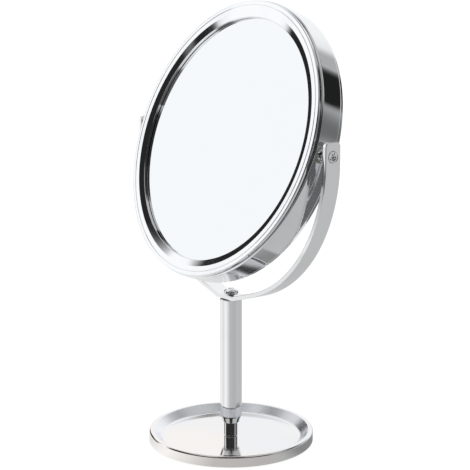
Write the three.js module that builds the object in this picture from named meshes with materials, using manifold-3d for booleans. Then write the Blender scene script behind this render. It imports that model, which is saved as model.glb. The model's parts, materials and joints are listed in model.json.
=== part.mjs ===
// Two-sided shaving mirror on a telescopic table stand. Millimetres, +Z up.
// Origin: centre of the underside of the base pad. The tilt axis runs along X, the plain glass faces -Y.
import * as THREE from 'three';
import * as BufferGeometryUtils from 'three/addons/utils/BufferGeometryUtils.js';
import Module from 'manifold-3d';

// Overall sizes
const pivotHeight = 167;         // tilt axis above the table
const headRadius = 76;           // outside of the drum band
const headThickness = 17;        // front lip to rear lip
const baseRadius = 45.5;         // outside of the dished base
const restTilt = 19.5;           // degrees the head leans back at rest
const touchGap = 0.3;            // between pieces that rest on each other
const overshoot = 1;             // cutters reach this far past what they cut

// Base
const baseHeight = 6.6;
const baseSheet = 0.7;           // spun steel sheet
const skirtLift = 0.6;           // skirt edge above the table
const rimWidth = 2.4;            // rolled rim
const rimRound = 1.2;
const dishSlopeRun = 5;
const dishDepth = 4.2;
const padRadius = 43;
const padHoleRadius = 6;
const baseScrewRadius = 1.9;
const baseScrewHeadRadius = 4.6;
const baseScrewHeadHeight = 0.9;
const baseScrewReach = 12;       // into the foot plug

// Telescopic column
const innerTubeRadius = 3.8;
const innerTubeWall = 0.8;
const slideDown = 7;             // column's travel below its rest height
const slideStopGap = 1.1;        // head plug above the sleeve screw at the bottom of the travel
const outerTubeRadius = 6;
const outerTubeWall = 0.7;
const crimpRadius = 4.85;
const crimpLength = 3.4;
const tubeLift = 8;              // crimped end above the dish floor at rest
const sleeveLength = 14;
const sleeveFit = 0.25;          // running clearance on each side of the sleeve
const plugFit = 0.25;
const footPlugLength = 12;
const topPlugLength = 10;
const headPlugLength = 8.6;
const threadFit = 0.3;
const sleeveScrewRadius = 1.4;
const sleeveScrewReach = 8;
const sleeveScrewHeadRadius = 2.8;
const sleeveScrewHeadHeight = 1.8;
const sleeveWasherHeight = 0.8;
const sleeveScrewDome = 0.6;     // share of the head's radius and height where its dome starts

// Yoke
const strapWidth = 9.4;
const strapThickness = 2.4;
const pivotGap = 4.2;            // drum band to the inside of the strap
const yokeDrop = 1.9;            // centre of the bend below the tilt axis
const seatDip = 1.6;             // seat below the bottom of the bend's circle
const padHalfHeight = 7.3;       // flat end of each arm, above and below the tilt axis
const endCorner = 2.5;
const seatHalfLength = 7;        // flat under the bend, on top of the column
const yokeScrewRadius = 1.9;
const yokeScrewReach = 7;
const yokeScrewHeadRadius = 4;
const yokeScrewHeadHeight = 2.6;
const crossSlotLength = 4.6;
const crossSlotWidth = 1;
const crossSlotDepth = 1.4;
// Dome of the pan head: shares of its radius and height, from the side to the crown
const panDome = [[1, 0.45], [0.88, 0.8], [0.6, 0.97], [0, 1]];

// Pivots
const pivotScrewRadius = 1.5;
const pivotScrewHeadRadius = 2.8;
const pivotScrewHeadDepth = 1.5;
const boreFit = 0.3;
const frictionWasherRadius = 4.6;
const frictionWasherHeight = 0.6;
const collarRadius = 3.2;
const nutSides = 6;
const nutAcrossFlats = 5.5;
const nutHeight = 2.1;

// Head
const bandSheet = 1;
const bandRound = 0.8;
const bezelInset = 0.8;          // bezel is this much smaller in radius than the band
const bezelFaceHeight = 1.6;     // bezel face in front of the band's edge
const bezelFaceWidth = 5.2;      // convex face
const bezelCrown = 0.15;         // rise of the face at its middle
const bezelRound = 0.75;
const bezelSlopeWidth = 3.6;
const bezelSlopeDepth = 1;
const bezelSkirtSheet = 2.5;
const skirtNutGap = 0.42;        // hidden skirt to the corners of the pivot nuts
const glassRecessShare = 0.188;  // lip to glass, as a share of the head's thickness
const glassThickness = 2.5;
const glassFit = 0.4;
const coreThickness = 1.2;

const bigSteps = 60;
const smallSteps = 24;
const bendSteps = 24;
const cornerSteps = 5;

const finishes = {
  chrome: new THREE.MeshStandardMaterial({ color: 0xd9dcdf, roughness: 0.06, metalness: 1 }),
  steel: new THREE.MeshStandardMaterial({ color: 0x9a9da0, roughness: 0.35, metalness: 1 }),
  iron: new THREE.MeshStandardMaterial({ color: 0x4b4b4c, roughness: 0.7, metalness: 0.6 }),
  mirror: new THREE.MeshStandardMaterial({ color: 0xf1f4f6, roughness: 0.01, metalness: 1 }),
  nylon: new THREE.MeshStandardMaterial({ color: 0xe6e4de, roughness: 0.5, metalness: 0 }),
  foam: new THREE.MeshStandardMaterial({ color: 0x1c1c1d, roughness: 0.9, metalness: 0 }),
  board: new THREE.MeshStandardMaterial({ color: 0xb59a72, roughness: 0.9, metalness: 0 }),
};

const wasm = await Module();
wasm.setup();

function toManifold(geometry) {
  const bare = geometry.clone();
  bare.deleteAttribute('normal');
  bare.deleteAttribute('uv');
  const merged = BufferGeometryUtils.mergeVertices(bare, 1e-4);
  const mesh = new wasm.Mesh({
    numProp: 3,
    vertProperties: new Float32Array(merged.attributes.position.array),
    triVerts: new Uint32Array(merged.index.array),
  });
  mesh.merge();
  return new wasm.Manifold(mesh);
}

function fromManifold(solid) {
  const mesh = solid.getMesh();
  const geometry = new THREE.BufferGeometry();
  geometry.setAttribute('position', new THREE.BufferAttribute(mesh.vertProperties, 3));
  geometry.setIndex(new THREE.BufferAttribute(mesh.triVerts, 1));
  geometry.computeVertexNormals();
  return geometry;
}

function cut(body, ...tools) {
  let solid = toManifold(body);
  for (const tool of tools) {
    solid = solid.subtract(toManifold(tool));
  }
  return fromManifold(solid);
}

// A closed (radius, height) outline turned about Z. Outlines run anticlockwise, radius to the right.
function turned(outline, steps = smallSteps) {
  const points = outline.map(([radius, height]) => new THREE.Vector2(radius, height));
  if (points[0].x > 0) {
    points.push(points[0].clone());
  }
  const geometry = new THREE.LatheGeometry(points, steps);
  geometry.rotateX(Math.PI / 2);
  return geometry;
}

function disc(radius, low, high, steps = smallSteps) {
  return turned([[0, low], [radius, low], [radius, high], [0, high]], steps);
}

function ring(inner, outer, low, high, steps = smallSteps) {
  return turned([[inner, low], [outer, low], [outer, high], [inner, high]], steps);
}

// Quarter-round points from one angle to another, both in degrees.
function arcPoints(centreRadius, centreHeight, radius, from, to, count = 3) {
  return Array.from({ length: count + 1 }, (_, i) => {
    const angle = THREE.MathUtils.degToRad(from + (to - from) * i / count);
    return [centreRadius + radius * Math.cos(angle), centreHeight + radius * Math.sin(angle)];
  });
}

function named(name, geometry, material) {
  const mesh = new THREE.Mesh(geometry, material);
  mesh.name = name;
  return mesh;
}

const part = new THREE.Group();

// Base: a spun dish over an iron ring, on a foam pad
const dishFloor = baseHeight - dishDepth;
const floorUnderside = dishFloor - baseSheet;
const rimInner = baseRadius - rimWidth;
const floorRadius = rimInner - dishSlopeRun;
const padHeight = floorUnderside - touchGap;

function makeBase() {
  const slopeLength = Math.hypot(dishSlopeRun, dishDepth);
  const offset = (distance) => [distance * dishDepth / slopeLength, -distance * dishSlopeRun / slopeLength];
  const [sheetOut, sheetDown] = offset(baseSheet);
  const roundCentre = baseRadius - rimRound;
  const shell = turned([
    [baseScrewRadius + threadFit, floorUnderside],
    [floorRadius + sheetOut, floorUnderside],
    [rimInner + sheetOut, baseHeight + sheetDown],
    ...arcPoints(roundCentre, baseHeight - rimRound, rimRound - baseSheet, 90, 0, 2),
    [baseRadius - baseSheet, skirtLift],
    [baseRadius, skirtLift],
    ...arcPoints(roundCentre, baseHeight - rimRound, rimRound, 0, 90, 3),
    [rimInner, baseHeight],
    [floorRadius, dishFloor],
    [baseScrewRadius + threadFit, dishFloor],
  ], bigSteps);

  const [ringOut, ringDown] = offset(baseSheet + touchGap);
  const ringTop = baseHeight - rimRound - baseSheet;
  const slopeRun = dishSlopeRun / dishDepth;
  const slopeAt = (height) => floorRadius + ringOut + (height - dishFloor - ringDown) * slopeRun;
  const ballast = turned([
    [slopeAt(floorUnderside), floorUnderside],
    [baseRadius - baseSheet - touchGap, floorUnderside],
    [baseRadius - baseSheet - touchGap, ringTop],
    [slopeAt(ringTop), ringTop],
  ], bigSteps);

  const headTop = floorUnderside - touchGap;
  const screw = turned([
    [0, headTop - baseScrewHeadHeight],
    [baseScrewHeadRadius, headTop - baseScrewHeadHeight],
    [baseScrewHeadRadius, headTop],
    [baseScrewRadius, headTop],
    [baseScrewRadius, dishFloor + baseScrewReach],
    [0, dishFloor + baseScrewReach],
  ]);

  part.add(
    named('base_shell', shell, finishes.chrome),
    named('base_ballast_ring', ballast, finishes.iron),
    named('base_pad', ring(padHoleRadius, padRadius, 0, padHeight, bigSteps), finishes.foam),
    named('base_screw', screw, finishes.steel),
  );
}

// Column: the outer tube slides on the inner tube and turns about it on a friction sleeve
const innerTubeBottom = dishFloor + touchGap;
const innerTubeBore = innerTubeRadius - innerTubeWall;
const outerTubeBore = outerTubeRadius - outerTubeWall;
const yokeRadius = headRadius + pivotGap + strapThickness;
const bendCentre = pivotHeight - yokeDrop;
const seatBelowCentre = yokeRadius + seatDip;
const seatUnderside = bendCentre - seatBelowCentre;
const seatTop = seatUnderside + strapThickness;
const outerTubeTop = seatUnderside - touchGap;
const crimpBottom = dishFloor + tubeLift;
const sleeveScrewTop = outerTubeTop - headPlugLength - slideDown - slideStopGap;
const sleeveScrewSeat = sleeveScrewTop - sleeveScrewHeadHeight;
const sleeveWasherBottom = sleeveScrewSeat - touchGap - sleeveWasherHeight;
const innerTubeTop = sleeveWasherBottom - touchGap;

function makeColumn() {
  const sleeveScrew = turned([
    [0, innerTubeTop - sleeveScrewReach],
    [sleeveScrewRadius, innerTubeTop - sleeveScrewReach],
    [sleeveScrewRadius, sleeveScrewSeat],
    [sleeveScrewHeadRadius, sleeveScrewSeat],
    [sleeveScrewHeadRadius, sleeveScrewSeat + sleeveScrewHeadHeight * sleeveScrewDome],
    [sleeveScrewHeadRadius * sleeveScrewDome, sleeveScrewTop],
    [0, sleeveScrewTop],
  ]);

  const outerTube = turned([
    [crimpRadius - outerTubeWall, crimpBottom],
    [crimpRadius, crimpBottom],
    [outerTubeRadius, crimpBottom + crimpLength],
    [outerTubeRadius, outerTubeTop],
    [outerTubeBore, outerTubeTop],
    [outerTubeBore, crimpBottom + crimpLength],
  ]);

  part.add(
    named('inner_tube', ring(innerTubeBore, innerTubeRadius,
      innerTubeBottom, innerTubeTop), finishes.chrome),
    named('foot_plug', ring(baseScrewRadius + threadFit, innerTubeBore - plugFit,
      innerTubeBottom + touchGap, innerTubeBottom + touchGap + footPlugLength), finishes.steel),
    named('top_plug', ring(sleeveScrewRadius + threadFit, innerTubeBore - plugFit,
      innerTubeTop - topPlugLength, innerTubeTop), finishes.steel),
    named('friction_sleeve', ring(innerTubeRadius + sleeveFit, outerTubeBore - sleeveFit,
      innerTubeTop - sleeveLength, innerTubeTop), finishes.nylon),
    named('sleeve_washer', ring(sleeveScrewRadius + threadFit, outerTubeBore - sleeveFit,
      sleeveWasherBottom, sleeveWasherBottom + sleeveWasherHeight), finishes.steel),
    named('sleeve_screw', sleeveScrew, finishes.steel),
    named('outer_tube', outerTube, finishes.chrome),
    named('head_plug', ring(yokeScrewRadius + threadFit, outerTubeBore - plugFit,
      outerTubeTop - headPlugLength, outerTubeTop), finishes.steel),
  );
}

// Yoke: one bent strap, screwed down onto the column. A straight run rises from each end of the seat
// and meets the bend's circle at runAngle from the bottom.
const seatCornerReach = Math.hypot(seatHalfLength, seatBelowCentre);
const runAngle = Math.atan2(seatHalfLength, seatBelowCentre) + Math.acos(yokeRadius / seatCornerReach);
const seatTopHalf = seatHalfLength - strapThickness * Math.tan(runAngle / 2);
const flatAngle = Math.asin((padHalfHeight - yokeDrop) / yokeRadius);
const armFace = yokeRadius * Math.cos(flatAngle);
const armInside = armFace - strapThickness;

function makeYoke() {
  const armTop = pivotHeight + padHalfHeight;
  const bendInside = yokeRadius - strapThickness;
  const insideFlatAngle = Math.acos(armInside / bendInside);
  const outline = new THREE.Shape();
  outline.moveTo(armInside, armTop);
  outline.absarc(0, bendCentre, bendInside, -insideFlatAngle, -Math.PI / 2 + runAngle, true);
  outline.lineTo(seatTopHalf, seatTop);
  outline.lineTo(-seatTopHalf, seatTop);
  outline.absarc(0, bendCentre, bendInside, -Math.PI / 2 - runAngle, -Math.PI + insideFlatAngle, true);
  outline.lineTo(-armInside, armTop);
  outline.lineTo(-armFace, armTop);
  outline.absarc(0, bendCentre, yokeRadius, Math.PI + flatAngle, Math.PI * 1.5 - runAngle, false);
  outline.lineTo(-seatHalfLength, seatUnderside);
  outline.lineTo(seatHalfLength, seatUnderside);
  outline.absarc(0, bendCentre, yokeRadius, -Math.PI / 2 + runAngle, -flatAngle, false);
  outline.lineTo(armFace, armTop);
  outline.closePath();
  const strapCut = { depth: strapWidth, bevelEnabled: false, curveSegments: bendSteps };
  const strap = new THREE.ExtrudeGeometry(outline, strapCut);
  strap.translate(0, 0, -strapWidth / 2);
  strap.rotateX(Math.PI / 2);

  // Corner tool: what lies outside the rounded ends, as a plate along X over both arms
  const half = strapWidth / 2;
  const reach = armFace + overshoot;
  const corners = [1, -1].map((side) => {
    const corner = new THREE.Shape();
    corner.moveTo(side * half, armTop - endCorner);
    corner.lineTo(side * (half + overshoot), armTop - endCorner);
    corner.lineTo(side * (half + overshoot), armTop + overshoot);
    corner.lineTo(side * (half - endCorner), armTop + overshoot);
    corner.lineTo(side * (half - endCorner), armTop);
    const from = Math.PI / 2;
    const to = side > 0 ? 0 : Math.PI;
    corner.absarc(side * (half - endCorner), armTop - endCorner, endCorner, from, to, side > 0);
    const toolCut = { depth: reach * 2, bevelEnabled: false, curveSegments: cornerSteps };
    const tool = new THREE.ExtrudeGeometry(corner, toolCut);
    tool.translate(0, 0, -reach);
    tool.rotateX(Math.PI / 2);
    tool.rotateZ(Math.PI / 2);
    return tool;
  });

  const bores = [1, -1].map((side) => {
    const bore = turned([
      [0, armInside - overshoot],
      [pivotScrewRadius + boreFit, armInside - overshoot],
      [pivotScrewRadius + boreFit, armFace - pivotScrewHeadDepth],
      [pivotScrewHeadRadius + boreFit, armFace],
      [pivotScrewHeadRadius + boreFit, armFace + overshoot],
      [0, armFace + overshoot],
    ]);
    bore.rotateY(side * Math.PI / 2);
    bore.translate(0, 0, pivotHeight);
    return bore;
  });
  const seatBore = disc(yokeScrewRadius + boreFit, seatUnderside - overshoot, seatTop + overshoot);

  const headSeat = seatTop + touchGap;
  const headTop = headSeat + yokeScrewHeadHeight;
  const panScrew = turned([
    [0, outerTubeTop - yokeScrewReach],
    [yokeScrewRadius, outerTubeTop - yokeScrewReach],
    [yokeScrewRadius, headSeat],
    [yokeScrewHeadRadius, headSeat],
    ...panDome.map(([out, up]) => [yokeScrewHeadRadius * out, headSeat + yokeScrewHeadHeight * up]),
  ]);
  const slots = [[crossSlotLength, crossSlotWidth], [crossSlotWidth, crossSlotLength]].map(([x, y]) => {
    const slot = new THREE.BoxGeometry(x, y, crossSlotDepth * 2);
    slot.translate(0, 0, headTop);
    return slot;
  });

  part.add(
    named('yoke', cut(strap, ...corners, ...bores, seatBore), finishes.chrome),
    named('yoke_screw', cut(panScrew, ...slots), finishes.chrome),
  );
}

// Head: pieces are turned about Z, then the whole head is laid over so that +Z becomes the glass normal
const bandInner = headRadius - bandSheet;
const lip = headThickness / 2;
const bezelRadius = headRadius - bezelInset;
const bezelSeam = lip - bezelFaceHeight;
const glassFront = lip - headThickness * glassRecessShare;
const glassEdge = bezelRadius - bezelFaceWidth - bezelSlopeWidth;
const nutCornerRadius = nutAcrossFlats / Math.sqrt(3);
const skirtOuter = bandInner - touchGap;
const skirtInner = skirtOuter - bezelSkirtSheet;
const glassRadius = skirtInner - glassFit;

function bezelOutline() {
  const shelf = glassFront + touchGap;
  const skirtEnd = nutCornerRadius + skirtNutGap;
  const faceEdge = lip - bezelCrown;
  return [
    [glassEdge, shelf],
    [skirtInner, shelf],
    [skirtInner, skirtEnd],
    [skirtOuter, skirtEnd],
    [skirtOuter, bezelSeam],
    [bezelRadius, bezelSeam],
    ...arcPoints(bezelRadius - bezelRound, faceEdge - bezelRound, bezelRound, 0, 90, 2),
    [bezelRadius - bezelFaceWidth / 2, lip],
    [bezelRadius - bezelFaceWidth, faceEdge],
    [glassEdge, lip - bezelSlopeDepth],
  ];
}

// Turn a piece made for the front over to the rear
function toRear(geometry) {
  const copy = geometry.clone();
  copy.rotateX(Math.PI);
  return copy;
}

function makeHead() {
  const bandHalf = bezelSeam - touchGap;
  const roundCentre = headRadius - bandRound;
  let band = turned([
    [bandInner, -bandHalf],
    [roundCentre, -bandHalf],
    ...arcPoints(roundCentre, -bandHalf + bandRound, bandRound, -60, 0, 2),
    ...arcPoints(roundCentre, bandHalf - bandRound, bandRound, 0, 60, 2),
    [roundCentre, bandHalf],
    [bandInner, bandHalf],
  ], bigSteps);
  const pin = disc(pivotScrewRadius + boreFit, -headRadius - overshoot, headRadius + overshoot);
  pin.rotateY(Math.PI / 2);
  band = cut(band, pin);

  const bezel = turned(bezelOutline(), bigSteps);
  const glassBack = glassFront - glassThickness;
  const glass = disc(glassRadius, glassBack, glassFront, bigSteps);
  const coreHalf = coreThickness / 2;
  const backing = disc(glassRadius, coreHalf + touchGap, glassBack - touchGap, bigSteps);

  const head = new THREE.Group();
  head.position.z = pivotHeight;
  head.rotation.x = Math.PI / 2 - THREE.MathUtils.degToRad(restTilt);
  head.add(
    named('drum_band', band, finishes.chrome),
    named('front_bezel', bezel, finishes.chrome),
    named('rear_bezel', toRear(bezel), finishes.chrome),
    named('front_glass', glass, finishes.mirror),
    named('rear_glass', toRear(glass), finishes.mirror),
    named('front_backing', backing, finishes.foam),
    named('rear_backing', toRear(backing), finishes.foam),
    named('core_board', disc(glassRadius, -coreHalf, coreHalf, bigSteps), finishes.board),
  );

  // Pivot hardware, made pointing out along +Z and turned to +X and -X
  const nutOuter = bandInner - touchGap;
  const washerOuter = armInside - touchGap;
  const collarOuter = washerOuter - frictionWasherHeight - touchGap;
  const screwTip = nutOuter - nutHeight;
  const screw = turned([
    [0, screwTip],
    [pivotScrewRadius, screwTip],
    [pivotScrewRadius, armFace - pivotScrewHeadDepth],
    [pivotScrewHeadRadius, armFace],
    [0, armFace],
  ]);
  const nutSolid = new THREE.CylinderGeometry(nutCornerRadius, nutCornerRadius, nutHeight, nutSides);
  nutSolid.rotateX(Math.PI / 2);
  nutSolid.translate(0, 0, nutOuter - nutHeight / 2);
  const nut = cut(nutSolid, disc(pivotScrewRadius + threadFit, screwTip - overshoot, nutOuter + overshoot));
  const hardware = [
    ['pivot_screw', screw, finishes.chrome],
    ['pivot_friction_washer', ring(pivotScrewRadius + boreFit, frictionWasherRadius,
      washerOuter - frictionWasherHeight, washerOuter), finishes.nylon],
    ['pivot_collar', ring(pivotScrewRadius + boreFit, collarRadius,
      headRadius + touchGap, collarOuter), finishes.chrome],
    ['pivot_nut', nut, finishes.steel],
  ];
  for (const [side, word] of [[1, 'right'], [-1, 'left']]) {
    for (const [name, geometry, material] of hardware) {
      const copy = geometry.clone();
      copy.rotateY(side * Math.PI / 2);
      head.add(named(`${name}_${word}`, copy, material));
    }
  }
  part.add(head);
}

makeBase();
makeColumn();
makeYoke();
makeHead();

export default part;
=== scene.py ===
# Chrome table mirror on a telescopic column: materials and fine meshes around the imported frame
import bpy
import json
import math
from mathutils import Matrix, Vector


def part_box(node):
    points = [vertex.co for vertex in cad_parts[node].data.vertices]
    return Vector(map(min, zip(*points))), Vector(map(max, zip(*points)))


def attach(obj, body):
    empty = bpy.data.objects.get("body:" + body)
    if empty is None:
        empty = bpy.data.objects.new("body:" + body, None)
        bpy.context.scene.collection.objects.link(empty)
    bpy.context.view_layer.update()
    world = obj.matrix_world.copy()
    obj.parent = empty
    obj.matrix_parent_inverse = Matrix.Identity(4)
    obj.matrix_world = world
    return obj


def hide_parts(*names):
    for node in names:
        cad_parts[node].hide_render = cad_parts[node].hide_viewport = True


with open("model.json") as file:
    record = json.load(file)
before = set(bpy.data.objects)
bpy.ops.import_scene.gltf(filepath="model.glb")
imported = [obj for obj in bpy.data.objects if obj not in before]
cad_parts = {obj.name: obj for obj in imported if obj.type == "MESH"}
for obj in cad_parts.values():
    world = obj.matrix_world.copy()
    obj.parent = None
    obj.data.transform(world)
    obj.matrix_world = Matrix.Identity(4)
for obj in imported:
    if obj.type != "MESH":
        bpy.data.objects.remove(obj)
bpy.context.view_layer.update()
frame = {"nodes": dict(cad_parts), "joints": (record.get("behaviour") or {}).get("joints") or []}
nodes = frame["nodes"]
millimetre = 0.001
fullTurn = 2 * math.pi
quarterTurn = math.pi / 2
origin = Vector((0, 0, 0))
mergeDistance = 0.001 * millimetre


def jointPlace(name):
    return Vector(next(j for j in frame["joints"] if j["name"] == name)["pos_m"])


def flatNormal(node):
    # normal of the widest flat side, facing the front (-Y)
    faces = sorted(nodes[node].data.polygons, key=lambda f: f.area)
    normal = faces[-1].normal.copy()
    return normal if normal.y < 0 else -normal


pivot = jointPlace("mirror_tilt")
upward = Vector((0, 0, 1))
sideways = Vector((1, 0, 0))
headNormal = flatNormal("front_glass").normalized()
headTurn = math.atan2(-headNormal.y, headNormal.z)     # lays a piece turned about Z onto the head


def span(node, axis, start=origin):
    # lowest and highest reach of a node along a direction
    reach = [(v.co - start).dot(axis) for v in nodes[node].data.vertices]
    return min(reach), max(reach)


def radii(node, axis, start=origin):
    # smallest and largest distance of a node's corners from an axis
    away = []
    for v in nodes[node].data.vertices:
        arm = v.co - start
        away.append((arm - axis * arm.dot(axis)).length)
    return min(away), max(away)


def clearSelection():
    if bpy.context.object and bpy.context.object.mode != "OBJECT":
        bpy.ops.object.mode_set(mode="OBJECT")
    bpy.ops.object.select_all(action="DESELECT")


def pickOnly(piece):
    clearSelection()
    piece.select_set(True)
    bpy.context.view_layer.objects.active = piece


def nameIt(name):
    piece = bpy.context.object
    piece.name = name
    piece.data.name = name
    return piece


def drawPath(name, points):
    # one vertex, extruded from point to point
    clearSelection()
    bpy.ops.mesh.primitive_plane_add(size=millimetre, location=points[0])
    piece = nameIt(name)
    bpy.ops.object.mode_set(mode="EDIT")
    bpy.ops.mesh.select_all(action="SELECT")
    bpy.ops.mesh.merge(type="CENTER")
    here = Vector(points[0])
    for point in points[1:]:
        step = Vector(point) - here
        bpy.ops.mesh.extrude_vertices_move(TRANSFORM_OT_translate={"value": step})
        here = Vector(point)
    bpy.ops.object.mode_set(mode="OBJECT")
    bpy.ops.object.transform_apply(location=True, rotation=False, scale=False)
    return piece


def tidyMesh(piece, turnOut=True):
    pickOnly(piece)
    bpy.ops.object.mode_set(mode="EDIT")
    bpy.ops.mesh.select_all(action="SELECT")
    bpy.ops.mesh.remove_doubles(threshold=mergeDistance)
    bpy.ops.mesh.dissolve_degenerate(threshold=mergeDistance / 10)
    if turnOut:
        bpy.ops.mesh.normals_make_consistent(inside=False)
    bpy.ops.object.mode_set(mode="OBJECT")


def smooth(piece, degrees=35):
    # smooth shading in which wide faces stay flat beside their rounded edges
    pickOnly(piece)
    bpy.ops.object.shade_smooth_by_angle(angle=math.radians(degrees))
    facing = piece.modifiers.new("facing", "WEIGHTED_NORMAL")
    facing.keep_sharp = True
    facing.weight = 100
    bpy.ops.object.modifier_apply(modifier=facing.name)


def spinOutline(name, outline, steps):
    # a closed (radius, height) outline in metres, spun about Z
    corners = [(radius, 0, height) for radius, height in outline]
    if outline[0][0] > mergeDistance:
        corners.append(corners[0])
    piece = drawPath(name, corners)
    pickOnly(piece)
    bpy.ops.object.mode_set(mode="EDIT")
    bpy.ops.mesh.select_all(action="SELECT")
    bpy.ops.mesh.spin(steps=steps, angle=fullTurn, center=(0, 0, 0), axis=(0, 0, 1))
    bpy.ops.object.mode_set(mode="OBJECT")
    tidyMesh(piece)
    smooth(piece)
    return piece


def rounded(corners, steps=5):
    # outline of corners (radius, height, fillet), each cut by an arc where it has a fillet
    result = []
    count = len(corners)
    # share of an edge that a fillet may use: half beside another fillet, or nearly all beside a sharp corner
    halfEdge, wholeEdge = 0.49, 0.98
    for i, (x, y, fillet) in enumerate(corners):
        here = Vector((x, y))
        before = Vector(corners[i - 1][:2]) - here
        after = Vector(corners[(i + 1) % count][:2]) - here
        if fillet <= 0:
            result.append((x, y))
            continue
        half = before.angle(after) / 2
        shareBefore = halfEdge if corners[i - 1][2] > 0 else wholeEdge
        shareAfter = halfEdge if corners[(i + 1) % count][2] > 0 else wholeEdge
        reach = min(fillet / math.tan(half), before.length * shareBefore, after.length * shareAfter)
        radius = reach * math.tan(half)
        middle = here + (before.normalized() + after.normalized()).normalized() * radius / math.sin(half)
        first = here + before.normalized() * reach - middle
        last = here + after.normalized() * reach - middle
        turn = first.angle_signed(last)
        for k in range(steps + 1):
            arm = first.copy()
            arm.rotate(Matrix.Rotation(-turn * k / steps, 2))
            point = middle + arm
            result.append((point.x, point.y))
    return result


def place(piece, turn=(0, 0, 0), at=(0, 0, 0)):
    # turns and moves a piece, then applies it so that the object stays at the origin
    pickOnly(piece)
    piece.rotation_euler = turn
    piece.location = at
    bpy.ops.object.transform_apply(location=True, rotation=True, scale=True)


def copyPiece(piece, name):
    twin = piece.copy()
    twin.data = piece.data.copy()
    twin.name = name
    twin.data.name = name
    bpy.context.scene.collection.objects.link(twin)
    return twin


def carve(piece, cutter, operation="DIFFERENCE"):
    pickOnly(piece)
    tool = piece.modifiers.new("carve", "BOOLEAN")
    tool.operation = operation
    tool.solver = "EXACT"
    tool.object = cutter
    bpy.ops.object.modifier_apply(modifier=tool.name)
    bpy.data.objects.remove(cutter)


def addCylinder(radius, low, high, vertices=48):
    clearSelection()
    bpy.ops.mesh.primitive_cylinder_add(radius=radius, depth=high - low, vertices=vertices,
                                        location=(0, 0, (low + high) / 2))
    piece = bpy.context.object
    place(piece, at=piece.location.copy())
    return piece


def finishPiece(piece, body, slot, material, *replaced):
    piece.data.materials.clear()
    piece.data.materials.append(material)
    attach(piece, body)
    if replaced:
        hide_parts(*replaced)


class Signal:
    # a socket that takes part in sums
    def __init__(self, sheet, socket):
        self.sheet = sheet
        self.socket = socket

    def maths(self, operation, *values):
        return self.sheet.node("ShaderNodeMath", {"operation": operation}, *values)

    def __add__(self, other):
        return self.maths("ADD", self, other)

    def __radd__(self, other):
        return self.maths("ADD", other, self)

    def __sub__(self, other):
        return self.maths("SUBTRACT", self, other)

    def __rsub__(self, other):
        return self.maths("SUBTRACT", other, self)

    def __mul__(self, other):
        return self.maths("MULTIPLY", self, other)

    def __truediv__(self, other):
        return self.maths("DIVIDE", self, other)


class Sheet:
    # one node tree
    def __init__(self, owner):
        owner.use_nodes = True
        self.tree = owner.node_tree
        self.tree.nodes.clear()

    def feed(self, socket, value):
        if isinstance(value, Signal):
            self.tree.links.new(value.socket, socket)
        elif hasattr(socket.default_value, "__len__") and len(socket.default_value) == 4 and len(value) == 3:
            socket.default_value = (*value, 1)
        else:
            socket.default_value = value

    def node(self, kind, settings, *values, out=0, **named):
        made = self.tree.nodes.new(kind)
        for key, value in settings.items():
            if key == "stops":
                ramp = made.color_ramp
                while len(ramp.elements) < len(value):
                    ramp.elements.new(0.5)
                for element, (position, shade) in zip(ramp.elements, value):
                    element.position = position
                    element.color = (*shade, 1) if hasattr(shade, "__len__") else (shade, shade, shade, 1)
            else:
                setattr(made, key, value)
        for i, value in enumerate(values):
            if value is not None:
                self.feed(made.inputs[i], value)
        for key, value in named.items():
            self.feed(made.inputs[key.replace("_", " ")], value)
        return Signal(self, made.outputs[out]) if made.outputs else None

    def ramp(self, value, low, high):
        # 0 below low, 1 above high
        smoothly = {"interpolation_type": "SMOOTHSTEP"}
        return self.node("ShaderNodeMapRange", smoothly, value, low, high, 0.0, 1.0)

    def blend(self, amount, first, second):
        # from the first colour to the second; the sockets between are for numbers and vectors
        unused = (None, None, None, None, None)
        return self.node("ShaderNodeMix", {"data_type": "RGBA"}, amount, *unused, first, second, out=2)

    def noise(self, place, scale, detail, roughness):
        return self.node("ShaderNodeTexNoise", {}, place, Scale=scale, Detail=detail, Roughness=roughness)

    def vectorMaths(self, operation, first, second=None, out=0):
        return self.node("ShaderNodeVectorMath", {"operation": operation}, first, second, out=out)


def objectPlace(sheet, turn=(0, 0, 0), middle=(0, 0, 0)):
    where = sheet.node("ShaderNodeTexCoord", {}, out=3)
    return sheet.node("ShaderNodeMapping", {"vector_type": "TEXTURE"}, where, middle, turn)


def makeSurface(name, settings, paint):
    material = bpy.data.materials.new(name)
    sheet = Sheet(material)
    surface = sheet.tree.nodes.new("ShaderNodeBsdfPrincipled")
    for key, value in settings.items():
        sheet.feed(surface.inputs[key], value)
    for key, value in paint(sheet).items():
        sheet.feed(surface.inputs[key], value)
    sheet.node("ShaderNodeOutputMaterial", {}, Signal(sheet, surface.outputs[0]))
    return material


chromeLook = {
    "tint": (0.90, 0.91, 0.92),
    "shade": (0.82, 0.83, 0.85),
    "roughLow": 0.03,
    "roughHigh": 0.09,
    "roughLines": 0.015,
    "smudgeScale": 38.0,
    "smudge": (0.45, 0.75),
    "wipeShade": 0.5,
    "lineBump": 0.02,
    "lineDepth": 0.2 * millimetre,
}
dishLook = {
    "satin": (37.0 * millimetre, 38.5 * millimetre),     # radii between which the satin slope starts
    "polish": (42.8 * millimetre, 43.6 * millimetre),    # and ends
    "ringsPerMetre": 2500.0,
    "castScale": 14.0,
    "cast": (0.4, 0.6),
    "cool": (0.885, 0.885, 0.90),
    "warm": (0.945, 0.91, 0.88),
    "slopeTint": (0.93, 0.94, 0.97),
    "smudge": (0.42, 0.72),
    "roughFloor": 0.05,
    "roughSlope": 0.2,
    "roughSmudge": 0.05,
    "roughRings": 0.02,
    "ringBump": 0.03,
}
silverLook = {
    "tint": (0.868, 0.887, 0.902),
    "hazy": (0.85, 0.865, 0.88),
    "hazeScale": 55.0,
    "haze": (0.62, 0.80),
    "dustShade": 0.2,
    "roughHaze": 0.02,
}
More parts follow.
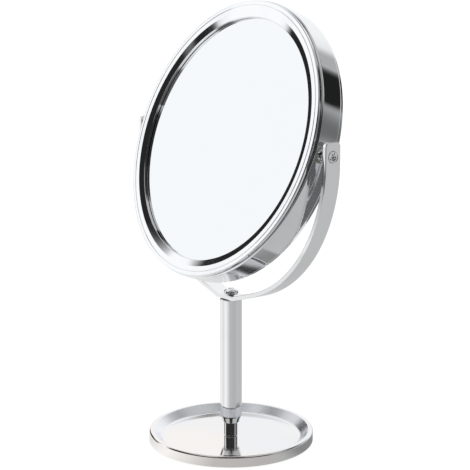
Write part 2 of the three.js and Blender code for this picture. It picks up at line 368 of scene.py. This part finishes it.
plainLook = {
    "mottle": (0.35, 0.7),
    "bump": 0.4,
    "roughMottle": 0.1,
}


def dishSurface(name):
    # turned finish: polished floor, satin slope, faint rings and a warm and a cool cast
    def paint(sheet):
        here = objectPlace(sheet)
        away = sheet.vectorMaths("LENGTH", sheet.vectorMaths("MULTIPLY", here, (1, 1, 0)), out=1)
        slope = sheet.ramp(away, *dishLook["satin"]) * (1 - sheet.ramp(away, *dishLook["polish"]))
        ringPlace = sheet.node("ShaderNodeCombineXYZ", {}, away * dishLook["ringsPerMetre"], 0.0, 0.0)
        rings = sheet.noise(ringPlace, 1.0, 3.0, 0.6)
        wipe = sheet.ramp(sheet.noise(here, chromeLook["smudgeScale"], 4.0, 0.5), *dishLook["smudge"])
        warmth = sheet.ramp(sheet.noise(here, dishLook["castScale"], 1.0, 0.5), *dishLook["cast"])
        polished = sheet.blend(warmth, dishLook["cool"], dishLook["warm"])
        rough = (dishLook["roughFloor"] + slope * dishLook["roughSlope"] + wipe * dishLook["roughSmudge"]
                 + rings * dishLook["roughRings"])
        dent = sheet.node("ShaderNodeBump", {}, Strength=dishLook["ringBump"],
                          Distance=chromeLook["lineDepth"], Height=rings)
        return {"Base Color": sheet.blend(slope, polished, dishLook["slopeTint"]),
                "Roughness": rough, "Normal": dent}
    return makeSurface(name, {"Metallic": 1.0}, paint)


def chromeSurface(name, grain, turn=(0, 0, 0), middle=(0, 0, 0)):
    # grain: polish lines per metre along each axis of the piece's own frame
    def paint(sheet):
        here = objectPlace(sheet, turn, middle)
        lines = sheet.node("ShaderNodeMapping", {}, here, (0, 0, 0), (0, 0, 0), grain)
        polish = sheet.noise(lines, 1.0, 3.0, 0.6)
        wipe = sheet.ramp(sheet.noise(here, chromeLook["smudgeScale"], 4.0, 0.55), *chromeLook["smudge"])
        rough = (chromeLook["roughLow"] + wipe * (chromeLook["roughHigh"] - chromeLook["roughLow"])
                 + polish * chromeLook["roughLines"])
        dent = sheet.node("ShaderNodeBump", {}, Strength=chromeLook["lineBump"],
                          Distance=chromeLook["lineDepth"], Height=polish)
        tone = sheet.blend(wipe * chromeLook["wipeShade"], chromeLook["tint"], chromeLook["shade"])
        return {"Base Color": tone, "Roughness": rough, "Normal": dent}
    return makeSurface(name, {"Metallic": 1.0}, paint)


def mirrorSurface(name):
    # silvered glass with a trace of haze
    def paint(sheet):
        mist = sheet.noise(objectPlace(sheet), silverLook["hazeScale"], 5.0, 0.6)
        dust = sheet.ramp(mist, *silverLook["haze"])
        tone = sheet.blend(dust * silverLook["dustShade"], silverLook["tint"], silverLook["hazy"])
        return {"Base Color": tone, "Roughness": dust * silverLook["roughHaze"]}
    return makeSurface(name, {"Metallic": 1.0}, paint)


def plainSurface(name, tint, shade, rough, metal, fleck, depth):
    # steel, nylon, foam and board: two tones by noise, with a matching bump
    def paint(sheet):
        spots = sheet.noise(objectPlace(sheet), fleck, 4.0, 0.6)
        mottle = sheet.ramp(spots, *plainLook["mottle"])
        dent = sheet.node("ShaderNodeBump", {}, Strength=plainLook["bump"],
                          Distance=depth * millimetre, Height=spots)
        return {"Base Color": sheet.blend(mottle, tint, shade),
                "Roughness": rough + mottle * plainLook["roughMottle"], "Normal": dent}
    return makeSurface(name, {"Metallic": metal}, paint)


headTurned = (headTurn, 0, 0)
chromeHead = chromeSurface("chromeHead", (60, 60, 60), headTurned, pivot)
chromeBand = chromeSurface("chromeBand", (40, 40, 900), headTurned, pivot)
chromeDish = dishSurface("chromeDish")
chromeTube = chromeSurface("chromeTube", (900, 900, 12))
chromeStrap = chromeSurface("chromeStrap", (50, 900, 50))
chromeScrew = chromeSurface("chromeScrew", (500, 500, 500))
silverGlass = mirrorSurface("silverGlass")
# two tones, roughness, metal, flecks per metre and their depth in millimetres
platedSteel = plainSurface("platedSteel", (0.55, 0.56, 0.57), (0.46, 0.47, 0.48), 0.28, 1.0, 900.0, 0.02)
castIron = plainSurface("castIron", (0.10, 0.10, 0.10), (0.17, 0.15, 0.14), 0.65, 0.7, 600.0, 0.2)
nylonCream = plainSurface("nylonCream", (0.80, 0.79, 0.74), (0.74, 0.73, 0.68), 0.42, 0.0, 400.0, 0.03)
foamBlack = plainSurface("foamBlack", (0.018, 0.018, 0.020), (0.032, 0.032, 0.034), 0.85, 0.0, 2200.0, 0.2)
pressedBoard = plainSurface("pressedBoard", (0.42, 0.31, 0.19), (0.33, 0.24, 0.14), 0.8, 0.0, 1200.0, 0.1)
print("materials made")


baseLook = {
    "sheet": 0.7 * millimetre,
    "rimCrown": 1.2 * millimetre,      # radius of the rolled outer edge
    "rimInside": 2.4 * millimetre,
    "slopeRun": 5.0 * millimetre,
    "depth": 4.2 * millimetre,
    "rimFillet": 1.0 * millimetre,
    "floorFillet": 3.0 * millimetre,
    "footInside": 0.15 * millimetre,
    "footOutside": 0.3 * millimetre,
    "holeRound": 0.1 * millimetre,
    "padRound": 0.35 * millimetre,
    "steps": 192,
    "padSteps": 128,
}


def makeBase():
    low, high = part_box("base_shell")
    radius = high.x
    depth = baseLook["depth"]
    sheet = baseLook["sheet"]
    hole = radii("base_shell", upward)[0]
    rim = radius - baseLook["rimInside"]
    floor = rim - baseLook["slopeRun"]
    top = high.z
    slope = math.hypot(baseLook["slopeRun"], depth)
    out = sheet * depth / slope
    down = sheet * baseLook["slopeRun"] / slope
    crown = baseLook["rimCrown"]
    inside = baseLook["rimFillet"]
    foot = baseLook["floorFillet"]
    shell = spinOutline("dishShell", rounded([
        (hole, top - depth - sheet, 0),
        (floor + out, top - depth - sheet, foot + sheet),
        (rim + out, top - down, inside - sheet),
        (radius - sheet, top - sheet, crown - sheet),
        (radius - sheet, low.z, baseLook["footInside"]),
        (radius, low.z, baseLook["footOutside"]),
        (radius, top, crown),
        (rim, top, inside),
        (floor, top - depth, foot),
        (hole, top - depth, baseLook["holeRound"]),
    ], 8), baseLook["steps"])
    finishPiece(shell, "base", "chrome_base", chromeDish, "base_shell")

    padLow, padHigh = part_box("base_pad")
    padHole = radii("base_pad", upward)[0]
    edge = baseLook["padRound"]
    pad = spinOutline("basePad", rounded([
        (padHole, padLow.z, edge), (padHigh.x, padLow.z, edge),
        (padHigh.x, padHigh.z, edge), (padHole, padHigh.z, edge),
    ], 4), baseLook["padSteps"])
    finishPiece(pad, "base", "pad_foam", foamBlack, "base_pad")
    print("base made")


tubeLook = {
    "steps": 96,
    "lip": 0.25 * millimetre,
    "wall": 0.7 * millimetre,
    "crimp": 3.4 * millimetre,         # height of the drawn-in lower end
    "mouthInside": 0.2 * millimetre,
    "mouthOutside": 0.3 * millimetre,
    "shoulderOutside": 2.5 * millimetre,
    "shoulderInside": 1.8 * millimetre,
    "topInside": 0.1 * millimetre,
}


def makeColumn():
    low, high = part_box("inner_tube")
    bore, radius = radii("inner_tube", upward)
    lip = tubeLook["lip"]
    inner = spinOutline("innerTube", rounded([
        (bore, low.z, lip), (radius, low.z, lip), (radius, high.z, lip), (bore, high.z, lip),
    ], 3), tubeLook["steps"])
    finishPiece(inner, "base", "chrome_column", chromeTube, "inner_tube")

    low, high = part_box("outer_tube")
    radius = high.x
    wall = tubeLook["wall"]
    neck = radii("outer_tube", upward)[0]
    shoulder = low.z + tubeLook["crimp"]
    outer = spinOutline("outerTube", rounded([
        (neck, low.z, tubeLook["mouthInside"]),
        (neck + wall, low.z, tubeLook["mouthOutside"]),
        (radius, shoulder, tubeLook["shoulderOutside"]),
        (radius, high.z, lip),
        (radius - wall, high.z, tubeLook["topInside"]),
        (radius - wall, shoulder, tubeLook["shoulderInside"]),
    ], 8), tubeLook["steps"])
    finishPiece(outer, "column", "chrome_column", chromeTube, "outer_tube")
    print("column made")


yokeLook = {
    "thickness": 2.4 * millimetre,
    "padHalf": 7.3 * millimetre,       # flat end below the tilt axis
    "seatHalf": 7.0 * millimetre,
    "bendDrop": 1.9 * millimetre,      # centre of the bend below the tilt axis
    "cornerRound": 2.4 * millimetre,
    "edgeBevel": 0.35 * millimetre,
    "sharpEdge": math.radians(50),     # edges at least this sharp are rounded
    "pivotBore": 1.8 * millimetre,
    "pivotSink": 3.1 * millimetre,     # radius of the countersink
    "pivotSinkDepth": 1.5 * millimetre,
    "seatBore": 2.2 * millimetre,
    "bendSteps": 96,
    "cornerSteps": 8,
    "edgeSteps": 3,
    "boreSteps": 48,
    "smoothAngle": 42,                 # degrees
}


def makeYoke():
    low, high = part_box("yoke")
    half = high.y
    face = high.x
    padBottom = pivot.z - yokeLook["padHalf"]
    # the bend's circle, and the angle from its bottom where a straight run leaves for the seat
    centre = pivot.z - yokeLook["bendDrop"]
    radius = math.hypot(face, padBottom - centre)
    seat = yokeLook["seatHalf"]
    fall = centre - low.z
    runAngle = math.atan2(seat, fall) + math.acos(radius / math.hypot(seat, fall))
    start = math.atan2(padBottom - centre, face)
    end = runAngle - quarterTurn
    steps = yokeLook["bendSteps"]
    bend = [start + (end - start) * i / steps for i in range(steps + 1)]
    right = [(face, high.z), (face, pivot.z)] + [
        (radius * math.cos(a), centre + radius * math.sin(a)) for a in bend] + [(seat, low.z)]
    outline = right + [(-x, z) for x, z in reversed(right)]
    ribbon = drawPath("yokeStrap", [(x, -half, z) for x, z in outline])
    pickOnly(ribbon)
    bpy.ops.object.mode_set(mode="EDIT")
    bpy.ops.mesh.select_all(action="SELECT")
    bpy.ops.mesh.extrude_edges_move(TRANSFORM_OT_translate={"value": (0, 2 * half, 0)})
    bpy.ops.mesh.select_all(action="DESELECT")
    bpy.ops.object.mode_set(mode="OBJECT")
    # round the corners of the two ends while the strap is still flat
    for v in ribbon.data.vertices:
        v.select = abs(v.co.z - high.z) < mergeDistance
    bpy.ops.object.mode_set(mode="EDIT")
    bpy.ops.mesh.select_mode(type="VERT")
    bpy.ops.mesh.bevel(offset=yokeLook["cornerRound"], segments=yokeLook["cornerSteps"],
                       affect="VERTICES", profile=0.5)
    bpy.ops.object.mode_set(mode="OBJECT")
    tidyMesh(ribbon)
    # all faces look away from the bend's middle before the strap gets its thickness
    sample = ribbon.data.polygons[0]
    if (sample.center - pivot).dot(sample.normal) < 0:
        bpy.ops.object.mode_set(mode="EDIT")
        bpy.ops.mesh.select_all(action="SELECT")
        bpy.ops.mesh.flip_normals()
        bpy.ops.object.mode_set(mode="OBJECT")
    wall = ribbon.modifiers.new("wall", "SOLIDIFY")
    wall.thickness = yokeLook["thickness"]
    wall.offset = -1
    wall.use_even_offset = True
    bpy.ops.object.modifier_apply(modifier=wall.name)
    edges = ribbon.modifiers.new("edges", "BEVEL")
    edges.width = yokeLook["edgeBevel"]
    edges.segments = yokeLook["edgeSteps"]
    edges.limit_method = "ANGLE"
    edges.angle_limit = yokeLook["sharpEdge"]
    bpy.ops.object.modifier_apply(modifier=edges.name)

    # countersunk pivot bores and the screw's bore through the seat
    bore = yokeLook["pivotBore"]
    sink = yokeLook["pivotSink"]
    inside = face - 5 * yokeLook["thickness"]
    outside = face + millimetre
    for side in (1, -1):
        cutter = spinOutline("bore", [
            (0, inside), (bore, inside), (bore, face - yokeLook["pivotSinkDepth"]),
            (sink, face), (sink, outside), (0, outside),
        ], yokeLook["boreSteps"])
        place(cutter, (0, side * quarterTurn, 0), pivot)
        carve(ribbon, cutter)
    carve(ribbon, addCylinder(yokeLook["seatBore"], low.z - millimetre, low.z + 2 * yokeLook["thickness"]))
    tidyMesh(ribbon, turnOut=False)
    smooth(ribbon, yokeLook["smoothAngle"])
    finishPiece(ribbon, "column", "chrome_yoke", chromeStrap, "yoke")
    print("yoke made", round(radius * 1000, 2), "mm bend")


screwLook = {
    "panHeight": 2.6 * millimetre,
    "panShank": 1.9 * millimetre,
    "panSide": 0.62,                   # share of the head's height where its dome starts
    "panTop": 0.62,                    # share of its radius where the dome ends
    "panDraft": 0.97,                  # share of its radius where the dome starts
    "panRounds": (0.25 * millimetre, 1.0 * millimetre, 1.6 * millimetre),
    "panCross": (4.6 * millimetre, 1.0 * millimetre, 1.5 * millimetre),    # length, width, depth
    "pivotShank": 1.5 * millimetre,
    "pivotSink": 1.5 * millimetre,
    "pivotRim": 0.2 * millimetre,
    "pivotCross": (2.4 * millimetre, 0.5 * millimetre, 0.4 * millimetre),
    "tipRound": 0.3 * millimetre,
    "panTipRound": 0.4 * millimetre,
    "smallRound": 0.1 * millimetre,
    "crossTaper": (0.45, 0.6, 1),      # floor of the driver recess against its mouth
    "steps": 48,
    "panSteps": 64,
}


def crossCutter(length, width, depth, top):
    # four-armed driver recess, narrower towards its floor
    cutter = None
    for turn in (0, quarterTurn):
        clearSelection()
        bpy.ops.mesh.primitive_cube_add(size=1, location=(0, 0, 0))
        arm = bpy.context.object
        arm.scale = (length, width, depth * 2)
        bpy.ops.object.transform_apply(location=False, rotation=False, scale=True)
        bpy.ops.object.mode_set(mode="EDIT")
        bpy.ops.mesh.select_all(action="DESELECT")
        bpy.ops.object.mode_set(mode="OBJECT")
        for v in arm.data.vertices:
            v.select = v.co.z < 0
        bpy.ops.object.mode_set(mode="EDIT")
        bpy.ops.transform.resize(value=screwLook["crossTaper"], center_override=(0, 0, 0))
        bpy.ops.object.mode_set(mode="OBJECT")
        place(arm, (0, 0, turn), (0, 0, top))
        if cutter is None:
            cutter = arm
        else:
            carve(cutter, arm, "UNION")
    return cutter


def makeScrews():
    low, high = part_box("yoke_screw")
    radius = high.x
    headHeight = screwLook["panHeight"]
    seat = high.z - headHeight
    shank = screwLook["panShank"]
    small = screwLook["smallRound"]
    seatRound, sideRound, topRound = screwLook["panRounds"]
    pan = spinOutline("yokeScrew", rounded([
        (0, low.z, 0), (shank, low.z, screwLook["panTipRound"]), (shank, seat, small),
        (radius, seat, seatRound),
        (radius * screwLook["panDraft"], seat + headHeight * screwLook["panSide"], sideRound),
        (radius * screwLook["panTop"], high.z, topRound), (0, high.z, 0),
    ], 6), screwLook["panSteps"])
    carve(pan, crossCutter(*screwLook["panCross"], high.z))
    smooth(pan)
    finishPiece(pan, "column", "screw_chrome", chromeScrew, "yoke_screw")

    tip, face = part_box("pivot_screw_right")[0].x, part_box("pivot_screw_right")[1].x
    headRadius = radii("pivot_screw_right", sideways, pivot)[1]
    shank = screwLook["pivotShank"]
    model = spinOutline("pivotScrew", rounded([
        (0, tip, 0), (shank, tip, screwLook["tipRound"]),
        (shank, face - screwLook["pivotSink"], small),
        (headRadius, face - screwLook["pivotRim"], small),
        (headRadius - small, face, small), (0, face, 0),
    ], 4), screwLook["steps"])
    carve(model, crossCutter(*screwLook["pivotCross"], face))
    smooth(model)
    for side, word in ((1, "right"), (-1, "left")):
        screw = copyPiece(model, "pivotScrew" + word.capitalize())
        place(screw, (0, side * quarterTurn, 0), pivot)
        finishPiece(screw, "head", "screw_chrome", chromeScrew, "pivot_screw_" + word)
    bpy.data.objects.remove(model)
    print("screws made")


pivotLook = {
    "boreRound": 0.1 * millimetre,
    "collarRound": 0.35 * millimetre,
    "washerRound": 0.15 * millimetre,
    "steps": 64,
}


def makePivots():
    # collars and friction washers between the band and the yoke
    inner = pivotLook["boreRound"]
    for side, word in ((1, "right"), (-1, "left")):
        for node, name, body, slot, material, outer in (
                ("pivot_collar_", "pivotCollar", "head", "screw_chrome", chromeScrew, "collarRound"),
                ("pivot_friction_washer_", "pivotWasher", "column", "nylon", nylonCream, "washerRound")):
            low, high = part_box(node + word)
            near, far = sorted((abs(low.x), abs(high.x)))
            bore, radius = radii(node + word, sideways, pivot)
            ring = spinOutline(name + word.capitalize(), rounded([
                (bore, near, inner), (radius, near, pivotLook[outer]),
                (radius, far, pivotLook[outer]), (bore, far, inner),
            ], 4), pivotLook["steps"])
            place(ring, (0, side * quarterTurn, 0), pivot)
            finishPiece(ring, body, slot, material, node + word)
    print("pivots made")


headLook = {
    "steps": 256,
    "faceWidth": 5.2 * millimetre,
    "slopeDepth": 1.3 * millimetre,
    "crown": 0.25 * millimetre,
    "edgeRound": 0.45 * millimetre,
    "grooveIn": 2.4 * millimetre,      # groove in the face, from its outer edge
    "grooveHalf": 0.22 * millimetre,
    "grooveDepth": 0.16 * millimetre,
    "grooveRound": (0.15 * millimetre, 0.08 * millimetre),     # at its edges, at its floor
    "seamDepth": 1.6 * millimetre,
    "seamRound": 0.25 * millimetre,
    "skirtRound": 0.2 * millimetre,
    "skirtGap": 0.3 * millimetre,
    "slopeStart": 0.5 * millimetre,    # fillets at the top and foot of the slope
    "slopeFoot": 0.35 * millimetre,
    "shelfRound": 0.1 * millimetre,
    "glassGap": 0.4 * millimetre,
    "glassEdge": 0.3 * millimetre,
    "bandSheet": 1.0 * millimetre,
    "bandRound": 0.95 * millimetre,
    "bandBore": 1.8 * millimetre,
}


def finishPair(front, rear, slot, material, node):
    # the rear piece is the front one turned over
    back = copyPiece(front, rear)
    place(front, headTurned, pivot)
    place(back, (headTurn + math.pi, 0, 0), pivot)
    finishPiece(front, "head", slot, material, "front_" + node)
    finishPiece(back, "head", slot, material, "rear_" + node)


def makeHead():
    skirtEnd, lip = span("front_bezel", headNormal, pivot)
    bezelRadius = span("front_bezel", sideways, pivot)[1]
    opening = radii("front_bezel", headNormal, pivot)[0]
    glassBack, glassFront = span("front_glass", headNormal, pivot)
    glassRadius = span("front_glass", sideways, pivot)[1]
    bandLow, bandHigh = span("drum_band", headNormal, pivot)
    bandRadius = span("drum_band", sideways, pivot)[1]
    bandInner = bandRadius - headLook["bandSheet"]
    bandRound = headLook["bandRound"]
    gap = headLook["skirtGap"]
    steps = headLook["steps"]

    # band: plain rolled sheet, its two edges turned in
    band = spinOutline("drumBand", rounded([
        (bandInner, bandLow, 0), (bandRadius, bandLow, bandRound),
        (bandRadius, bandHigh, bandRound), (bandInner, bandHigh, 0),
    ], 6), steps)
    past = 2 * headLook["bandSheet"]
    for side in (1, -1):
        bore = addCylinder(headLook["bandBore"], bandInner - past, bandRadius + past, 32)
        place(bore, (0, side * quarterTurn, 0))
        carve(band, bore)
    smooth(band)
    place(band, headTurned, pivot)
    finishPiece(band, "head", "chrome_head", chromeBand, "drum_band")

    # bezel: crowned face, slope to the glass, hidden skirt inside the band
    faceInner = bezelRadius - headLook["faceWidth"]
    groove = bezelRadius - headLook["grooveIn"]
    grooveHalf = headLook["grooveHalf"]
    grooveEdge, grooveFloor = headLook["grooveRound"]
    seam = lip - headLook["seamDepth"]
    skirtOuter = bandInner - gap
    skirtInner = glassRadius + headLook["glassGap"]
    skirtRound = headLook["skirtRound"]
    shelf = glassFront + gap
    bezel = spinOutline("frontBezel", rounded([
        (opening, shelf, headLook["shelfRound"]),
        (skirtInner, shelf, skirtRound),
        (skirtInner, skirtEnd, skirtRound),
        (skirtOuter, skirtEnd, skirtRound),
        (skirtOuter, seam, 0),
        (bezelRadius, seam, headLook["seamRound"]),
        (bezelRadius, lip, headLook["edgeRound"]),
        (groove + grooveHalf, lip, grooveEdge),
        (groove, lip - headLook["grooveDepth"], grooveFloor),
        (groove - grooveHalf, lip, grooveEdge),
        (faceInner, lip - headLook["crown"], headLook["slopeStart"]),
        (opening, lip - headLook["slopeDepth"], headLook["slopeFoot"]),
    ], 8), steps)
    finishPair(bezel, "rearBezel", "chrome_head", chromeHead, "bezel")

    # glass: ground edge, silvered face
    edge = headLook["glassEdge"]
    glass = spinOutline("frontGlass", rounded([
        (0, glassBack, 0), (glassRadius, glassBack, edge),
        (glassRadius, glassFront, edge), (0, glassFront, 0),
    ], 4), steps)
    finishPair(glass, "rearGlass", "mirror_glass", silverGlass, "glass")
    print("head made")


makeBase()
makeColumn()
makeYoke()
makeScrews()
makePivots()
makeHead()

# hidden pieces keep their CAD shape and get their own finish
hiddenFinish = {
    platedSteel: ["base_screw", "foot_plug", "top_plug", "sleeve_washer", "sleeve_screw", "head_plug",
                  "pivot_nut_right", "pivot_nut_left"],
    castIron: ["base_ballast_ring"],
    nylonCream: ["friction_sleeve"],
    foamBlack: ["front_backing", "rear_backing"],
    pressedBoard: ["core_board"],
}
for material, names in hiddenFinish.items():
    for name in names:
        nodes[name].data.materials.clear()
        nodes[name].data.materials.append(material)


studio = {
    "cameraTurn": 53.2,        # degrees round from the front
    "cameraDistance": 0.680,
    "cameraHeight": 0.249,
    "cameraPitch": 11.08,
    "cameraYaw": 0.185,
    "lens": 98.1,
    # world: degrees round to the right of the camera's side, degrees up, softness, tone
    "around": 0.55,
    "behind": 0.98,
    "behindFrom": (0.2, 0.85),
    "cards": [
        ((-120, -86), (-14, 42), 1.5, 1.07),     # white card for the plain glass
        ((-99, -56), (9, 48), 1.5, 0.02),        # black flag beside the card
        ((-93, -56), (-6, 9), 1.5, 0.02),
        ((-112, -97), (31, 62), 2.0, 0.02),      # black flag above it
        ((-160, -119), (-8, 25), 1.5, 0.02),     # black flag behind it
        ((-58, 60), (2, 42), 4.0, 0.03),         # dark room on the camera's side
        ((-24, 24), (30, 72), 5.0, 0.03),
        ((60, 92), (-2, 22), 7.0, 0.16),         # grey flag on the right
        ((93, 119), (17, 48), 2.5, 0.015),       # black flag on the right
        ((118, 134), (10, 60), 5.0, 0.45),       # grey edge of it
        ((150, 174), (52, 65), 2.0, 0.05),       # strip light's black end overhead
    ],
    "worldTint": (0.985, 0.993, 1.0),
    "worldSeen": 1.05,
    # floor as the metal sees it, in greys of painted light and shade: degrees round, tone
    "table": [(-180, 0.72), (-118, 0.95), (-88, 0.78), (-58, 1.0), (-35, 0.80), (-13, 0.53), (25, 0.48),
              (48, 0.49), (70, 0.54), (100, 0.52), (153, 0.54), (180, 0.72)],
    "tablePower": 1.25,
    "tableReach": (0.34, 0.38),                  # metres from the stand to the dark end of the table
    "tableEnd": 0.8,                             # how much darker it is there
    "tableLong": [(-128, -94), (62, 108)],       # except between these degrees round
    "tableLongSoft": 3,
    "beside": (52, 100),                         # painted shadow of the base, darker close to its right
    "besideSoft": 14,
    "besideReach": (0.066, 0.074),
    "paintedShadowTone": 0.5,
    "floorSize": 8,
    "floorShade": 0.93,                          # floor as it is seen: in the object's shade, and open
    "floorOpen": 1.05,
    "shadeReach": 0.03,
    # softboxes: place, size, watts; they face the aim
    "softboxes": {"softLeft": ((-1.2, -0.9, 1.3), 1.2, 8), "softTop": ((0.1, 0.2, 1.8), 1.6, 6)},
    "aim": (0, 0, 0.12),
}


def makeCamera():
    turn = math.radians(studio["cameraTurn"])
    data = bpy.data.cameras.new("camera")
    data.lens = studio["lens"]
    data.sensor_width = 36
    data.clip_end = 20
    camera = bpy.data.objects.new("camera", data)
    bpy.context.scene.collection.objects.link(camera)
    away = studio["cameraDistance"]
    camera.location = (away * math.sin(turn), -away * math.cos(turn), studio["cameraHeight"])
    camera.rotation_euler = (quarterTurn - math.radians(studio["cameraPitch"]), 0,
                             turn - math.radians(studio["cameraYaw"]))
    bpy.context.scene.camera = camera


def roundFrom(sheet, vector):
    # degrees round to the right of the camera's side, and the level part towards that side
    turn = math.radians(studio["cameraTurn"])
    across = sheet.vectorMaths("DOT_PRODUCT", vector, (math.cos(turn), math.sin(turn), 0), out=1)
    along = sheet.vectorMaths("DOT_PRODUCT", vector, (math.sin(turn), -math.cos(turn), 0), out=1)
    return sheet.node("ShaderNodeMath", {"operation": "ARCTAN2"}, across, along) * (180 / math.pi), along


def between(sheet, value, low, high, soft):
    return sheet.ramp(value, low - soft, low + soft) * (1 - sheet.ramp(value, high - soft, high + soft))


def makeFloor():
    # pale where it is seen, with a painted shadow round the stand; the metal sees a table in greys of
    # painted light and shade, with a painted shadow of the base
    clearSelection()
    bpy.ops.mesh.primitive_plane_add(size=studio["floorSize"], location=(0, 0, 0))
    floor = nameIt("floor")
    material = bpy.data.materials.new("paleFloor")
    sheet = Sheet(material)
    here = sheet.node("ShaderNodeTexCoord", {}, out=3)
    bearing = roundFrom(sheet, here)[0]
    # painted light and shade: the table's greys round the stand stand for how the studio light falls on it,
    # and the floor glows with them for reflections
    stops = [((turn + 180) / 360, tone / studio["tablePower"]) for turn, tone in studio["table"]]
    tones = sheet.node("ShaderNodeValToRGB", {"stops": stops}, bearing / 360 + 0.5)
    far = sheet.vectorMaths("LENGTH", here, out=1)
    ends = sheet.ramp(far, *studio["tableReach"])
    for left, right in studio["tableLong"]:
        ends = ends * (1 - between(sheet, bearing, left, right, studio["tableLongSoft"]))
    # painted shadow of the base: the table as the metal sees it is darker close to the right of the base
    close = 1 - sheet.ramp(far, *studio["besideReach"])
    beside = close * between(sheet, bearing, *studio["beside"], studio["besideSoft"])
    lit = (1 - ends * studio["tableEnd"]) * (1 - beside * studio["paintedShadowTone"])
    paintedTableLightAndShade = sheet.node("ShaderNodeEmission", {}, sheet.blend(lit, (0, 0, 0), tones), studio["tablePower"])

    # painted shadow: the floor as it is seen glows less where ambient occlusion finds the stand close by
    openness = sheet.node("ShaderNodeAmbientOcclusion", {"samples": 8}, Distance=studio["shadeReach"], out=1)
    shade, bare = studio["floorShade"], studio["floorOpen"]
    seenFloorWithPaintedShadow = sheet.node("ShaderNodeEmission", {}, sheet.blend(openness, (shade,) * 3, (bare,) * 3))
    seen = sheet.node("ShaderNodeLightPath", {}, out=0)
    both = sheet.node("ShaderNodeMixShader", {}, seen, paintedTableLightAndShade, seenFloorWithPaintedShadow)
    sheet.node("ShaderNodeOutputMaterial", {}, both)
    floor.data.materials.append(material)


def makeWorld():
    # bright tent for the chrome to reflect, with white cards and black flags in it
    world = bpy.data.worlds.new("studioWorld")
    bpy.context.scene.world = world
    sheet = Sheet(world)
    direction = sheet.node("ShaderNodeTexCoord", {}, out=0)
    bearing, along = roundFrom(sheet, direction)
    lift = sheet.vectorMaths("DOT_PRODUCT", direction, (0, 0, 1), out=1)
    up = sheet.node("ShaderNodeMath", {"operation": "ARCSINE"}, lift) * (180 / math.pi)
    level = studio["around"] + sheet.ramp(0 - along, *studio["behindFrom"]) * (
        studio["behind"] - studio["around"])
    for (left, right), (bottom, top), soft, tone in studio["cards"]:
        card = between(sheet, bearing, left, right, soft) * between(sheet, up, bottom, top, soft)
        level = level + (tone - level) * card
    seen = sheet.node("ShaderNodeLightPath", {}, out=0)
    strength = seen * studio["worldSeen"] + (1 - seen) * level
    glow = sheet.node("ShaderNodeBackground", {}, studio["worldTint"], strength)
    sheet.node("ShaderNodeOutputWorld", {}, glow)


def makeLights():
    for name, (spot, size, power) in studio["softboxes"].items():
        data = bpy.data.lights.new(name, "AREA")
        data.size = size
        data.energy = power
        lamp = bpy.data.objects.new(name, data)
        bpy.context.scene.collection.objects.link(lamp)
        lamp.location = spot
        lamp.rotation_mode = "QUATERNION"
        lamp.rotation_quaternion = (Vector(spot) - Vector(studio["aim"])).to_track_quat("Z", "Y")
        lamp.visible_glossy = False
    bpy.context.scene.view_settings.view_transform = "Standard"


makeCamera()
makeFloor()
makeWorld()
makeLights()
print("studio made")
